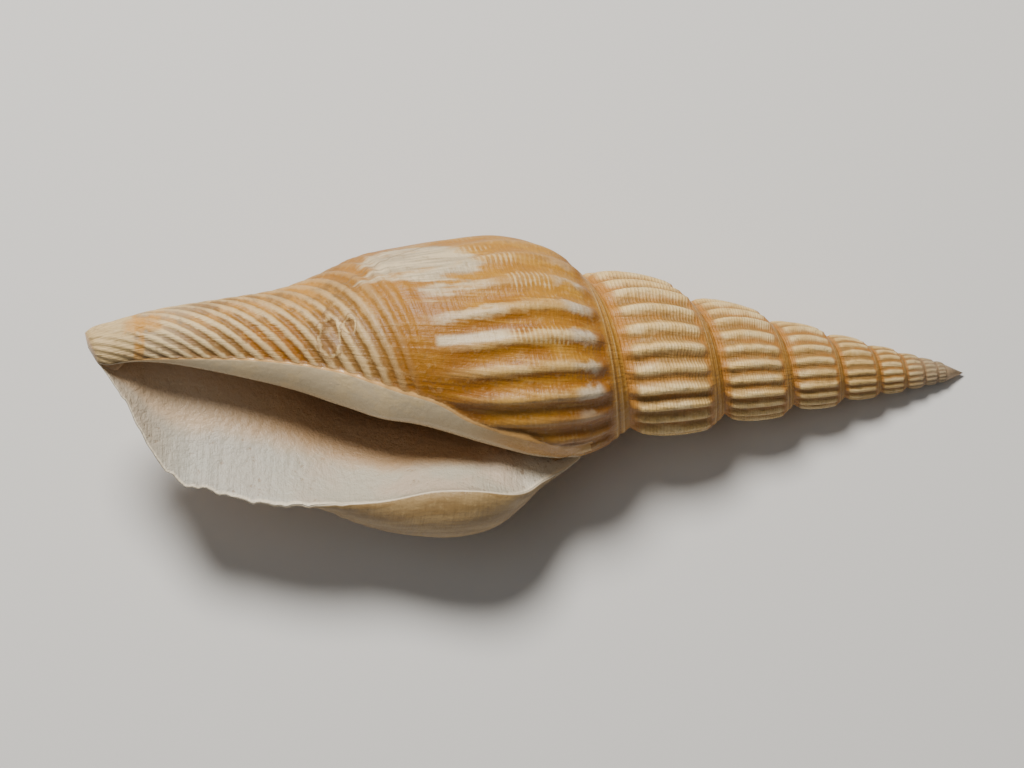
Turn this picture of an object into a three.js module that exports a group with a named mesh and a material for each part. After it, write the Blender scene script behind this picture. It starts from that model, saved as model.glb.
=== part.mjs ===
import * as THREE from "three";

// A slender dextral conch shell, grown as one piece, lying on its back with the mouth turned up.
// Millimetres, +Z up. The coiling axis runs along X with the apex at +X, and the mouth faces up
// and towards -Y. The origin is under the middle of the shell, on the surface that it rests on.
//
// A place on the shell is told by three values:
//   turn      how many whorls of growth before the finished lip (0 at the lip, -1 one whorl back)
//   distance  millimetres from the apex along the coiling axis
//   along     0 at the suture, 1 at the tip of the canal, on the last whorl only

// Size and growth
const SHELL_LENGTH = 79.3;
const SUTURE_AT_LIP = 41.9;
const FIRST_WHORL_OFFSET = 0.3;
const GROWTH_RATE = 0.31;
const GROWTH_SLOWING = 0.006;
const LIP_CLIMB = 0.168;
const LIP_CLIMB_TURNS = 0.24;
const FIRST_TURN = -9.4;
const APEX_NUCLEUS = 0.3;
const APEX_BLUNTNESS = 0.34;
const APEX_BLUNT_LENGTH = 19;

// Relief
const RIBS_PER_WHORL = 20;
const RIB_HEIGHT = 0.036;
const RIB_START = 0.13;
const RIB_RISE = 0.1;
const RIB_END = 0.9;
const GROOVE_PLACE = 0.1;
const GROOVE_WIDTH = 0.035;
const GROOVE_DEPTH = 0.016;
const BODY_RIB_FADE_START = 0.18;
const BODY_RIB_FADE_END = 0.34;
const LIP_SMOOTH_START = -0.45;
const LIP_SMOOTH_END = -0.12;

// Last whorl, lip and mouth
const REFERENCE_TURN = -0.5;
const SPIRE_END = -1.3;
const WING_START = -0.3;
const WING_FLARE_POWER = 2;
const BULGE_PLACE = 0.8;
const LIP_THICKNESS = 0.7;
const WALL_THICKNESS = 1.5;
const FULL_WALL_RADIUS = 5;
const THIN_WALL_SHARE = 0.4;
const THIN_WALL_LENGTH = 0.1;
const LIP_THINNING_TURNS = 0.1;
const NARROWEST_CAVITY = 0.85;
const CAVITY_TURNS = 0.75;
const CAVITY_ROUNDING = 0.16;
const CAVITY_TOP = 0.035;
const CAVITY_TOP_TURNS = 0.05;
const MOUTH_FOLD_SPAN = 58;
const TIP_ROUNDING = 0.3;
const TIP_SLANT = 1.2;
const TIP_SLANT_START = 74;
const TIP_RAY = 90;

// Rest position on a flat surface, in degrees
const REST_ROLL = 9.82;
const REST_PITCH = 13.24;

// Mesh fineness
const COLUMNS_PER_TURN = 60;
const WHORL_ROWS = [0, 0.1, 0.17, 0.45, 0.78, 1];
const GROOVE_ROWS = 2;
const BODY_ROWS = 22;
const BODY_ROW_CROWDING = 1.2;
const CAVITY_COLUMNS = 15;
const SLOPE_STEP = 0.004;
const DEGREE = Math.PI / 180;
const CIRCLE = 360;
const SHELL_COLOR = 0xe8cfa4;
const SHELL_ROUGHNESS = 0.5;

// A smooth curve through [place, value] pairs, level beyond its two ends
function smoothCurve(points) {
  const slopeAt = (i) => {
    const before = points[Math.max(i - 1, 0)];
    const after = points[Math.min(i + 1, points.length - 1)];
    return (after[1] - before[1]) / (after[0] - before[0]);
  };
  return (place) => {
    const x = THREE.MathUtils.clamp(place, points[0][0], points[points.length - 1][0]);
    let i = 0;
    while (i < points.length - 2 && x > points[i + 1][0]) i += 1;
    const span = points[i + 1][0] - points[i][0];
    const t = (x - points[i][0]) / span;
    const startValue = points[i][1] * (2 * t ** 3 - 3 * t ** 2 + 1);
    const endValue = points[i + 1][1] * (3 * t ** 2 - 2 * t ** 3);
    const startSlope = slopeAt(i) * span * (t ** 3 - 2 * t ** 2 + t);
    const endSlope = slopeAt(i + 1) * span * (t ** 3 - t ** 2);
    return startValue + endValue + startSlope + endSlope;
  };
}

// Outlines of the shell. The bend of the axis, the edge of the callus and the pillar go by the
// distance from the apex, the whorl outline by the share of a whorl, the rest by the value along.
const AXIS_BEND = smoothCurve([
  [0, 0], [8, -0.2], [15, -0.25], [28, -0.2], [38, -0.25], [46, -0.1], [52, 0], [69, 0], [74, -0.25],
  [79.3, -1.25],
]);
const WHORL_OUTLINE = smoothCurve([
  [0, 0.194], [0.1, 0.222], [0.2, 0.234], [0.4, 0.236], [0.6, 0.23], [0.8, 0.217], [1, 0.192],
]);
const BODY_OUTLINE = smoothCurve([
  [0, 6.9], [0.03, 8.2], [0.09, 9.7], [0.17, 10.2], [0.25, 9.8], [0.37, 8.75], [0.45, 7.8], [0.53, 5.95],
  [0.61, 4.5], [0.73, 3.4], [0.85, 2.5], [0.94, 1.9], [1, 1.55],
]);
const CALLUS_EDGE_ANGLE = smoothCurve([
  [34.2, 180], [37.7, 160], [40.1, 154], [44.6, 146], [51, 138], [58, 151], [67, 144], [73, 150],
  [77, 168], [79.6, 180],
]);
const PILLAR_RADIUS = smoothCurve([
  [29, 5.6], [34.2, 5.4], [38, 4.4], [45, 3.3], [55, 2.4], [65, 1.6], [73, 1.0], [79.6, 0.8],
]);
const LIP_RADIUS = smoothCurve([
  [0, 8.65], [0.035, 9.85], [0.09, 11.1], [0.155, 13.3], [0.24, 13.5], [0.32, 13.4], [0.42, 13.9],
  [0.575, 14.3], [0.65, 14.1], [0.76, 13.0], [0.8, 12.6], [0.86, 9.8], [0.905, 6.3], [0.945, 4.2],
  [0.98, 2.4], [1, 1.55],
]);
const LIP_ANGLE = smoothCurve([
  [0, -180], [0.09, -192], [0.155, -197], [0.24, -204], [0.32, -202], [0.42, -192], [0.575, -184],
  [0.76, -176], [0.9, -175], [1, -180],
]);
const LIP_BULGE = smoothCurve([
  [0, 0], [0.1, 1.2], [0.2, 3.3], [0.32, 4.2], [0.45, 3.2], [0.58, 0.9], [0.7, -0.5], [0.85, -0.5], [1, 0],
]);
const CAVITY_END = smoothCurve([
  [-0.75, 0.5], [-0.45, 0.53], [-0.33, 0.6], [-0.25, 0.82], [-0.15, 0.93], [0, 1],
]);

const blend = (from, to, share) => from + (to - from) * share;
const smooth = (value, low, high) => THREE.MathUtils.smoothstep(value, low, high);

// Spiral of growth

function plainSuture(turn) {
  return FIRST_WHORL_OFFSET + SUTURE_AT_LIP * Math.exp(GROWTH_RATE * turn - GROWTH_SLOWING * turn ** 2);
}

function suture(turn) {
  return plainSuture(turn) * (1 - LIP_CLIMB * smooth(turn, -LIP_CLIMB_TURNS, 0));
}

// Degrees around the coiling axis: 0 is towards +Y, 90 towards +Z before the shell is laid down
function turnAngle(turn) {
  return -CIRCLE / 2 - CIRCLE * turn;
}

function placed(distance, radius, angle) {
  const y = radius * Math.cos(angle * DEGREE) + AXIS_BEND(distance);
  const z = radius * Math.sin(angle * DEGREE);
  const slant = smooth(distance, TIP_SLANT_START, SHELL_LENGTH) * (1 - Math.cos(angle * DEGREE)) / 2;
  return new THREE.Vector3(TIP_SLANT * slant - distance, y, z);
}

// Outside surface

function bodyRadius(turn, along) {
  const growth = plainSuture(turn) / plainSuture(REFERENCE_TURN);
  return BODY_OUTLINE(along) * (1 + (growth - 1) * (1 - along));
}

function alongAt(turn, distance) {
  return (distance - suture(turn)) / (SHELL_LENGTH - suture(turn));
}

function ribWave(turn) {
  return Math.cos(2 * Math.PI * RIBS_PER_WHORL * turn);
}

function sutureGroove(share) {
  return -GROOVE_DEPTH * Math.exp(-(((share - GROOVE_PLACE) / GROOVE_WIDTH) ** 2));
}

function whorlShare(turn, distance) {
  return Math.log(distance / suture(turn)) / Math.log(plainSuture(turn + 1) / plainSuture(turn));
}

function spireRelief(turn, distance) {
  const share = whorlShare(turn, distance);
  const ribWindow = smooth(share, RIB_START, RIB_START + RIB_RISE) * (1 - smooth(share, RIB_END, 1));
  return 1 + RIB_HEIGHT * ribWindow * ribWave(turn) + sutureGroove(share);
}

function bodyRelief(turn, along) {
  const share = whorlShare(turn, suture(turn) + along * (SHELL_LENGTH - suture(turn)));
  const start = smooth(share, RIB_START, RIB_START + RIB_RISE);
  const end = 1 - smooth(along, BODY_RIB_FADE_START, BODY_RIB_FADE_END);
  const fade = 1 - smooth(turn, LIP_SMOOTH_START, LIP_SMOOTH_END);
  return 1 + RIB_HEIGHT * start * end * fade * ribWave(turn) + sutureGroove(share) * fade;
}

function spirePoint(turn, distance, withRelief) {
  const bluntness = APEX_BLUNTNESS * Math.exp(-((distance / APEX_BLUNT_LENGTH) ** 2));
  const smoothRadius = distance * WHORL_OUTLINE(whorlShare(turn, distance)) + bluntness;
  const along = alongAt(turn, distance);
  const lastShare = smooth(turn, SPIRE_END, -1);
  const radius = blend(smoothRadius, bodyRadius(turn, along), lastShare);
  const relief = withRelief ? blend(spireRelief(turn, distance), bodyRelief(turn, along), lastShare) : 1;
  return placed(distance, radius * relief, turnAngle(turn));
}

function mouthFold(radius, distance, angle) {
  const edge = CALLUS_EDGE_ANGLE(distance);
  const fold = smooth(angle, edge, edge + MOUTH_FOLD_SPAN);
  return blend(radius, Math.min(radius, PILLAR_RADIUS(distance)), fold);
}

// Grows towards the lip, is 1 at BULGE_PLACE and falls to 0 at the lip itself
function bulgeShape(wingShare) {
  const power = BULGE_PLACE / (1 - BULGE_PLACE);
  return ((wingShare / BULGE_PLACE) ** power * (1 - wingShare)) / (1 - BULGE_PLACE);
}

function bodyPoint(turn, along, withRelief) {
  const distance = suture(turn) + along * (SHELL_LENGTH - suture(turn));
  const relief = withRelief ? bodyRelief(turn, along) : 1;
  const wingShare = (turn - WING_START) / -WING_START;
  if (wingShare <= 0) {
    const angle = turnAngle(turn);
    return placed(distance, mouthFold(bodyRadius(turn, along) * relief, distance, angle), angle);
  }
  const angle = blend(turnAngle(WING_START), LIP_ANGLE(along), wingShare);
  const flare = blend(bodyRadius(WING_START, along), LIP_RADIUS(along), wingShare ** WING_FLARE_POWER);
  return placed(distance, (flare + LIP_BULGE(along) * bulgeShape(wingShare)) * relief, angle);
}

// Inside surface: the far wall of the mouth and of the hollow behind it, and the pillar

function wallThickness(turn, along) {
  const thickness = blend(LIP_THICKNESS, WALL_THICKNESS, smooth(-turn, 0, LIP_THINNING_TURNS));
  const thin = Math.min(1, bodyRadius(turn, along) / FULL_WALL_RADIUS);
  return thickness * thin * blend(THIN_WALL_SHARE, 1, smooth(along, 0, THIN_WALL_LENGTH));
}

function innerWallPoint(turn, along) {
  const before = bodyPoint(turn - SLOPE_STEP, along, false);
  const after = bodyPoint(Math.min(turn + SLOPE_STEP, 0), along, false);
  const low = bodyPoint(turn, Math.max(along - SLOPE_STEP, 0), false);
  const high = bodyPoint(turn, Math.min(along + SLOPE_STEP, 1), false);
  const outward = after.sub(before).cross(high.sub(low)).normalize();
  return bodyPoint(turn, along, false).addScaledVector(outward, -wallThickness(turn, along));
}

function mouthWallPoint(turn, share) {
  return innerWallPoint(turn, blend(cavityTop(turn), CAVITY_END(turn), share));
}

function cavityTop(turn) {
  return CAVITY_TOP * smooth(-turn, 0, CAVITY_TOP_TURNS);
}

function pillarPoint(turn, share) {
  const wall = mouthWallPoint(turn, share);
  const distance = -wall.x;
  const wallHeight = wall.y - AXIS_BEND(distance);
  const wallRadius = Math.hypot(wallHeight, wall.z);
  const wallAngle = THREE.MathUtils.euclideanModulo(Math.atan2(wall.z, wallHeight) / DEGREE, CIRCLE);
  const foldAngle = turnAngle(turn) + CIRCLE;
  const foldRadius = mouthFold(bodyRadius(turn - 1, alongAt(turn - 1, distance)), distance, foldAngle);
  const open = smooth(share, 0, CAVITY_ROUNDING) * (1 - smooth(share, 1 - CAVITY_ROUNDING, 1));
  const nearestFoldAngle = foldAngle + CIRCLE * Math.round((wallAngle - foldAngle) / CIRCLE);
  const radius = blend(wallRadius, Math.min(foldRadius, wallRadius * NARROWEST_CAVITY), open);
  return placed(distance, radius, blend(wallAngle, nearestFoldAngle, open));
}

// Surface mesh: shared points and triangles

const points = [];
const triangles = [];

function addPoint(point) {
  points.push(point.x, point.y, point.z);
  return points.length / 3 - 1;
}

function addTriangle(a, b, c) {
  if (a !== b && b !== c && c !== a) triangles.push(a, b, c);
}

function addQuad(a, b, c, d) {
  addTriangle(a, b, c);
  addTriangle(a, c, d);
}

function joinLines(first, firstPlaces, second, secondPlaces) {
  let i = 0;
  let j = 0;
  while (i < first.length - 1 || j < second.length - 1) {
    const firstIsBehind = firstPlaces[i + 1] <= secondPlaces[j + 1];
    if (j === second.length - 1 || (i < first.length - 1 && firstIsBehind)) {
      addTriangle(first[i], second[j], first[i + 1]);
      i += 1;
    } else {
      addTriangle(first[i], second[j], second[j + 1]);
      j += 1;
    }
  }
}

const columnCount = Math.round(-FIRST_TURN * COLUMNS_PER_TURN);
const bodyStart = columnCount - COLUMNS_PER_TURN;
const lastWhorlRow = WHORL_ROWS.length - 1;
const columnTurn = (column) => (column - columnCount) / COLUMNS_PER_TURN;
const bodyRowShare = (row) => (row / BODY_ROWS) ** BODY_ROW_CROWDING;

function sutureRing() {
  return Array.from({ length: columnCount + 1 }, (_, column) => {
    const turn = columnTurn(column);
    const surfaceTurn = column < COLUMNS_PER_TURN ? turn : turn - 1;
    return addPoint(spirePoint(surfaceTurn, suture(turn), false));
  });
}

function rowDistance(turn, row) {
  const start = suture(turn);
  const fullShare = plainSuture(turn + 1) / plainSuture(turn);
  const end = turn < -1 ? suture(turn + 1) : (start * suture(0)) / suture(-1);
  const grooveEnd = start * fullShare ** WHORL_ROWS[GROOVE_ROWS];
  if (row <= GROOVE_ROWS) return start * fullShare ** WHORL_ROWS[row];
  const share = (WHORL_ROWS[row] - WHORL_ROWS[GROOVE_ROWS]) / (1 - WHORL_ROWS[GROOVE_ROWS]);
  return grooveEnd * (end / grooveEnd) ** share;
}

function spireColumn(column, ring) {
  const turn = columnTurn(column);
  const rows = [ring[column]];
  for (let row = 1; row < lastWhorlRow; row += 1) {
    rows.push(addPoint(spirePoint(turn, rowDistance(turn, row), true)));
  }
  rows.push(ring[column + COLUMNS_PER_TURN]);
  return rows;
}

function bodyColumn(column, ring) {
  const turn = columnTurn(column);
  const rows = [ring[column]];
  for (let row = 1; row < lastWhorlRow; row += 1) {
    rows.push(addPoint(bodyPoint(turn, alongAt(turn, rowDistance(turn, row)), true)));
  }
  const bodyRowStart = alongAt(turn, rowDistance(turn, lastWhorlRow));
  if (column === bodyStart) rows.push(ring[columnCount]);
  else rows.push(addPoint(bodyPoint(turn, bodyRowStart, true)));
  for (let row = 1; row <= BODY_ROWS; row += 1) {
    rows.push(addPoint(bodyPoint(turn, blend(bodyRowStart, 1, bodyRowShare(row)), true)));
  }
  return rows;
}

function outsideColumns() {
  const ring = sutureRing();
  const columns = [];
  for (let column = 0; column < bodyStart; column += 1) columns.push(spireColumn(column, ring));
  for (let column = bodyStart; column <= columnCount; column += 1) columns.push(bodyColumn(column, ring));
  const tipRow = lastWhorlRow + BODY_ROWS;
  columns[columnCount][tipRow] = columns[bodyStart][tipRow];
  return columns;
}

function coverBetween(here, next) {
  const rows = Math.min(here.length, next.length) - 1;
  for (let row = 0; row < rows; row += 1) addQuad(here[row], next[row], next[row + 1], here[row + 1]);
}

function coverOutside(columns) {
  for (let column = 0; column < columnCount; column += 1) {
    coverBetween(columns[column], columns[column + 1]);
  }
}

function closeApex(columns) {
  const apex = addPoint(new THREE.Vector3(-APEX_NUCLEUS, 0, 0));
  for (let column = 0; column < COLUMNS_PER_TURN; column += 1) {
    addTriangle(columns[column + 1][0], columns[column][0], apex);
  }
  for (let row = 0; row < lastWhorlRow; row += 1) addTriangle(columns[0][row], columns[0][row + 1], apex);
}

function closeCanalTip(columns) {
  const tipRow = lastWhorlRow + BODY_ROWS;
  const tip = addPoint(placed(SHELL_LENGTH + TIP_ROUNDING, 0, TIP_RAY));
  for (let column = bodyStart; column < columnCount; column += 1) {
    addTriangle(columns[column][tipRow], columns[column + 1][tipRow], tip);
  }
}

function lipPlaces() {
  const start = alongAt(0, rowDistance(0, lastWhorlRow));
  const first = WHORL_ROWS.map((_, row) => alongAt(0, rowDistance(0, row)));
  const rest = Array.from({ length: BODY_ROWS }, (_, row) => blend(start, 1, bodyRowShare(row + 1)));
  return first.concat(rest);
}

function cavityLines(turn, rowShares) {
  const wall = rowShares.map((share) => addPoint(mouthWallPoint(turn, share)));
  const pillar = rowShares.map((share, row) => {
    const isEnd = row === 0 || row === rowShares.length - 1;
    return isEnd ? wall[row] : addPoint(pillarPoint(turn, share));
  });
  return { wall, pillar };
}

function hollow(columns) {
  const lip = columns[columnCount];
  const rowShares = Array.from({ length: BODY_ROWS + 1 }, (_, row) => bodyRowShare(row));
  const edge = rowShares.map((share) => {
    if (share === 0) return lip[0];
    return share === 1 ? lip[lip.length - 1] : addPoint(mouthWallPoint(0, share));
  });
  joinLines(lip, lipPlaces(), edge, rowShares);
  let here = { wall: edge, pillar: columns[bodyStart].slice(lastWhorlRow) };
  for (let step = 1; step <= CAVITY_COLUMNS; step += 1) {
    const next = cavityLines((-CAVITY_TURNS * step) / CAVITY_COLUMNS, rowShares);
    coverBetween(here.wall, next.wall);
    coverBetween(next.pillar, here.pillar);
    here = next;
  }
  coverBetween(here.wall, here.pillar);
}

const outside = outsideColumns();
coverOutside(outside);
closeApex(outside);
closeCanalTip(outside);
hollow(outside);

const geometry = new THREE.BufferGeometry();
geometry.setAttribute("position", new THREE.Float32BufferAttribute(points, 3));
geometry.setIndex(triangles);
geometry.computeVertexNormals();

const material = new THREE.MeshStandardMaterial({
  color: SHELL_COLOR,
  roughness: SHELL_ROUGHNESS,
  metalness: 0,
});
const shell = new THREE.Mesh(geometry, material);
shell.name = "shell";
shell.rotation.set(REST_ROLL * DEGREE, REST_PITCH * DEGREE, 0, "YXZ");
shell.updateMatrixWorld(true);
const box = new THREE.Box3().setFromObject(shell, true);
shell.position.set(-(box.min.x + box.max.x) / 2, -(box.min.y + box.max.y) / 2, -box.min.z);

const object = new THREE.Group();
object.add(shell);

export default object;
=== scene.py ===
import math
from functools import partial, reduce

import bpy
import numpy as np
from mathutils import Matrix, Vector


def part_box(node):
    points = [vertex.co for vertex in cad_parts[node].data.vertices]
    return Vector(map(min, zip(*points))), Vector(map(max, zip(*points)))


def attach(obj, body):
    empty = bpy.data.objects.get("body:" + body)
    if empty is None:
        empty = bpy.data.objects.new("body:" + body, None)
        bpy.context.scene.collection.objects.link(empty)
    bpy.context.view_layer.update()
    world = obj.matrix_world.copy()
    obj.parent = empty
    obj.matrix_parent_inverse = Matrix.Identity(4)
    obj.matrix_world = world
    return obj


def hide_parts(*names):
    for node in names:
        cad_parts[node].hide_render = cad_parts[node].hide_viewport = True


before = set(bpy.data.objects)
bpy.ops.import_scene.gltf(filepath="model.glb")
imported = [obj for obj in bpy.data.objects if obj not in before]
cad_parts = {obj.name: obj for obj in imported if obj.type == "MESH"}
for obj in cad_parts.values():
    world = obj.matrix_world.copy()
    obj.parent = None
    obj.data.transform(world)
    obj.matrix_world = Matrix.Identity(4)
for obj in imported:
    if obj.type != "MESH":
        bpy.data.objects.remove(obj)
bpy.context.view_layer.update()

# The looks of a slender right-handed conch shell. Its surface is grown by curves like the solid's, on
# a finer mesh, and carries the ribs, cords, callus, scars and colours that the photo shows. Lengths of
# the shell are millimetres until the mesh is placed, and angles are degrees. A place on the
# shell is told by its turn (0 at the lip, -1 one whorl back), its distance from the apex along the
# axis, its share of a whorl (0 at the suture, 1 where the next suture would run), and on the last
# whorl also by the value along (0 at the suture, 1 at the tip of the canal).

MM_PER_METRE = 1000

# Size and growth
SHELL_LENGTH = 79.3
SUTURE_AT_LIP = 41.9
FIRST_WHORL_OFFSET = 0.3
GROWTH_RATE = 0.31
GROWTH_SLOWING = 0.006
LIP_CLIMB = 0.168
LIP_CLIMB_TURNS = 0.24
FIRST_TURN = -9.4
APEX_NUCLEUS = 0.3
APEX_BLUNTNESS = 0.34
APEX_BLUNT_LENGTH = 19
REST_ROLL = 9.82
REST_PITCH = 13.24

# Last whorl, lip and mouth
REFERENCE_TURN = -0.5
SPIRE_END = -1.3
LAST_WHORL_START = -1.001
WING_START = -0.3
WING_FLARE_POWER = 2
BULGE_PLACE = 0.8
LIP_THICKNESS = 0.35
WALL_THICKNESS = 1.5
FULL_WALL_RADIUS = 5
THIN_WALL_SHARE = 0.4
THIN_WALL_LENGTH = 0.1
LIP_THINNING_TURNS = 0.1
NARROWEST_CAVITY = 0.85
CAVITY_TURNS = 0.75
CAVITY_ROUNDING = 0.16
CAVITY_TIP_ROUNDING = 0.04
CAVITY_TOP = 0.035
CAVITY_TOP_TURNS = 0.05
FILL_TURNS = 0.22
FILL_FADE = 0.13
MOUTH_FOLD_SPAN = 58
TIP_ROUNDING = 0.3
TIP_SLANT = 1.2
TIP_SLANT_START = 74
TIP_ANGLE = 90
SLOPE_STEP = 0.004
TINY = 1e-9
TINY_AREA = 1e-12

# Mesh fineness
COLUMNS_PER_TURN = 216
WHORL_SHARES = (
    0, 0.02, 0.04, 0.06, 0.072, 0.084, 0.096, 0.11, 0.125, 0.15, 0.19, 0.25, 0.32, 0.4, 0.48, 0.56, 0.64,
    0.72, 0.8, 0.88, 0.95, 1,
)
BAND_SHARE = 0.17
BODY_ROWS = 142
BODY_ROW_CROWDING = 1.1
CAVITY_COLUMNS = 54
EDGE_LINES = 3
EDGE_ROUNDING = 0.3

# Where on the shell a corner lies. The lip's edge lies between the outside and the wall.
OUTER_SIDE = 0
HOLLOW_WALL = 1
PILLAR = 2

# Relief. A rib's height is a share of its distance from the apex, other heights are millimetres.
RIB_HEIGHT = 0.0135
SPIRE_RIB_GAIN = 1.4
RIB_SHARPNESS = 1.5
SPIRE_RIB_SHARPNESS = 1.1
RIB_MEAN = 0.42
RIB_VARIETY = 0.25
RIB_VARIETY_STEP = 2.4
RIB_START = (0.13, 0.21)
SPIRE_RIB_END = (0.9, 1)
BODY_RIB_END = (0.22, 0.39)
LIP_SMOOTH = (-0.45, -0.12)
RIB_FADE = (-0.75, -0.25)
RIB_LEAN = 0.036
RIB_LEAN_SHARES = (0.4, 1.6)
GROOVE_SHARE = 0.085
GROOVE_WIDTH = 0.011
GROOVE_DEPTH = 0.11
BAND_RIDGES = (0.055, 0.118)
BAND_RIDGE_WIDTH = 0.012
BAND_RIDGE_HEIGHT = 0.06
BAND_SCALE_DISTANCE = 36
CORD_FIRST = 1.405
CORD_SPACING = 0.082
CORD_SLANT = 0.45
CORD_SLANT_TURN = -0.74
CORD_HEIGHT = 0.16
CORD_START = (1.25, 1.55)
CORD_LIP_FADE = (-0.3, -0.1)
CORD_LIP_REST = 0.25
# Each scar's turn and share, and how far it reaches along and across
SCARS = ((-0.73, 1.808, 0.052, 0.048), (-0.706, 1.698, 0.02, 0.03))
SCAR_SLANT = 0.9
SCAR_WOBBLE = 0.07
SCAR_LOBES = 3
SCAR_DEPTH = 0.22
SCAR_FLOOR_REACH = 0.5
SCAR_RIM_WIDTH = 0.2
SCAR_RIM_HEIGHT = 0.035
CALLUS_HEIGHT = 0.3
CALLUS_EDGE_DEGREES = 3
CALLUS_END = (-0.45, -0.2)
CALLUS_LAST_TURN = -0.7
CALLUS_FIRST_DISTANCES = (35, 38)
DEEP_UNDER_CALLUS = 60
CLEAR_OF_CALLUS = -90
CLEAR_OF_SCARS = 9
# Each wave's count along the lip, height and phase
LIP_WAVES = ((17, 0.07, 0), (29, 0.05, 1), (47, 0.03, 2))
LIP_WAVE_POWER = 40
LIP_WAVE_ZONE = (0.42, 0.6)
LIP_WAVE_END = (0.93, 0.98)
LIP_WAVE_FRONT = (0.68, 0.8)
LIP_WAVE_FRONT_GAIN = 1.5

# Curves, as pairs of a place and the value there. AXIS_BEND, CALLUS_FOLD_ANGLE, PILLAR_RADIUS,
# CALLUS_TOP_ANGLE and BROWN_AND_SHADE_START go by the distance, WHORL_OUTLINE by the share, BODY_OUTLINE and the
# lip's radius, angle and bulge by along, CAVITY_END and RIB_NUMBER by the turn, and LIP_FILL by the
# share of the hollow's wall, 0 at its upper end.
AXIS_BEND = (
    (0, 0), (8, -0.2), (15, -0.25), (28, -0.2), (38, -0.25), (46, -0.1), (52, 0), (69, 0), (74, -0.25),
    (79.3, -1.25),
)
WHORL_OUTLINE = (
    (0, 0.194), (0.1, 0.222), (0.2, 0.234), (0.4, 0.236), (0.6, 0.23), (0.8, 0.217), (1, 0.192),
)
BODY_OUTLINE = (
    (0, 6.9), (0.03, 8.2), (0.09, 9.7), (0.17, 10.2), (0.25, 9.8), (0.37, 8.75), (0.45, 7.8), (0.53, 5.95),
    (0.61, 4.5), (0.73, 3.4), (0.85, 2.5), (0.94, 1.9), (0.985, 1.65), (1, 1.3),
)
CALLUS_FOLD_ANGLE = (
    (34.2, 180), (37.7, 160), (40.1, 154), (44.6, 146), (51, 138), (55, 147), (60, 158), (67, 148),
    (73, 142), (77, 146), (79.6, 152),
)
PILLAR_RADIUS = (
    (29, 5.6), (34.2, 5.4), (38, 4.4), (45, 3.3), (55, 2.4), (65, 1.6), (70, 1.3), (74, 1.0), (79.6, 0.6),
)
LIP_RADIUS = (
    (0, 8.65), (0.035, 9.85), (0.09, 11.35), (0.125, 12.55), (0.165, 13.3), (0.24, 13.5), (0.32, 13.4),
    (0.42, 13.9), (0.575, 14.3), (0.65, 14.1), (0.76, 13.0), (0.8, 12.6), (0.86, 9.8), (0.905, 6.3),
    (0.945, 4.2), (0.98, 2.4), (1, 1.3),
)
LIP_ANGLE = (
    (0, -180), (0.09, -193), (0.125, -198), (0.165, -203), (0.24, -206), (0.32, -202), (0.42, -192),
    (0.575, -184), (0.76, -176), (0.9, -175), (1, -180),
)
LIP_BULGE = (
    (0, 0), (0.1, 0.9), (0.2, 3.2), (0.32, 4.2), (0.45, 3.2), (0.58, 0.9), (0.7, -0.5), (0.85, -0.5), (1, 0),
)
CAVITY_END = ((-0.75, 0.5), (-0.45, 0.53), (-0.33, 0.6), (-0.25, 0.82), (-0.15, 0.93), (0, 1))
LIP_FILL = (
    (0, 1.0), (0.06, 1.3), (0.13, 1.3), (0.2, 1.05), (0.42, 0.85), (0.55, 0.7), (0.7, 0.6),
    (0.85, 0.4), (1, 0),
)
CALLUS_TOP_ANGLE = (
    (36, 152), (38.3, 146), (41.2, 139), (43.9, 136), (46.7, 131), (49.4, 122.5), (52.9, 118), (56.2, 114.5),
    (58.7, 113.5), (62, 114.5), (65.4, 116.5), (69.6, 125), (75.2, 143), (79.3, 155),
)
# Where the hollow's brown begins, in turns behind the lip at each distance. The brown is partly the shell's
# own colour and partly painted shade where the body and callus shade the wall.
BROWN_AND_SHADE_START = (
    (37, 0.04), (40, 0.05), (45, 0.058), (52, 0.06), (58, 0.08), (66, 0.085), (72, 0.06), (78, 0.03),
)
RIB_NUMBER = (
    (-9.4, -167), (-6.7, -122), (-5.693, -105), (-4.702, -87), (-3.715, -68), (-2.743, -47), (-1.719, -23),
    (-0.718, 0), (0, 16),
)


def curve(pairs, place):
    """The height at a place of a smooth curve through pairs, level beyond its two ends."""
    places, values = np.array(pairs, dtype=float).T
    slopes = np.empty_like(values)
    slopes[1:-1] = (values[2:] - values[:-2]) / (places[2:] - places[:-2])
    slopes[0] = (values[1] - values[0]) / (places[1] - places[0])
    slopes[-1] = (values[-1] - values[-2]) / (places[-1] - places[-2])
    x = np.clip(place, places[0], places[-1])
    i = np.clip(np.searchsorted(places, x) - 1, 0, len(places) - 2)
    span = places[i + 1] - places[i]
    t = (x - places[i]) / span
    start = values[i] * (2 * t**3 - 3 * t**2 + 1) + slopes[i] * span * (t**3 - 2 * t**2 + t)
    end = values[i + 1] * (3 * t**2 - 2 * t**3) + slopes[i + 1] * span * (t**3 - t**2)
    return start + end


def blend(start, end, share):
    return start + (end - start) * share


def smooth(value, low, high):
    t = np.clip((value - low) / (high - low), 0, 1)
    return t * t * (3 - 2 * t)


# Spiral of growth


def plain_suture(turn):
    return FIRST_WHORL_OFFSET + SUTURE_AT_LIP * np.exp(GROWTH_RATE * turn - GROWTH_SLOWING * turn**2)


def suture(turn):
    return plain_suture(turn) * (1 - LIP_CLIMB * smooth(turn, -LIP_CLIMB_TURNS, 0))


def turn_angle(turn):
    return -180 - 360 * turn


def placed(distance, radius, angle):
    """Points of the shell before it is laid down: the axis runs along X, with the apex at the origin."""
    cos, sin = np.cos(np.radians(angle)), np.sin(np.radians(angle))
    slant = smooth(distance, TIP_SLANT_START, SHELL_LENGTH) * (1 - cos) / 2
    height = radius * cos + curve(AXIS_BEND, distance)
    parts = np.broadcast_arrays(TIP_SLANT * slant - distance, height, radius * sin)
    return np.stack(parts, axis=-1)


def along_at(turn, distance):
    return (distance - suture(turn)) / (SHELL_LENGTH - suture(turn))


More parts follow.
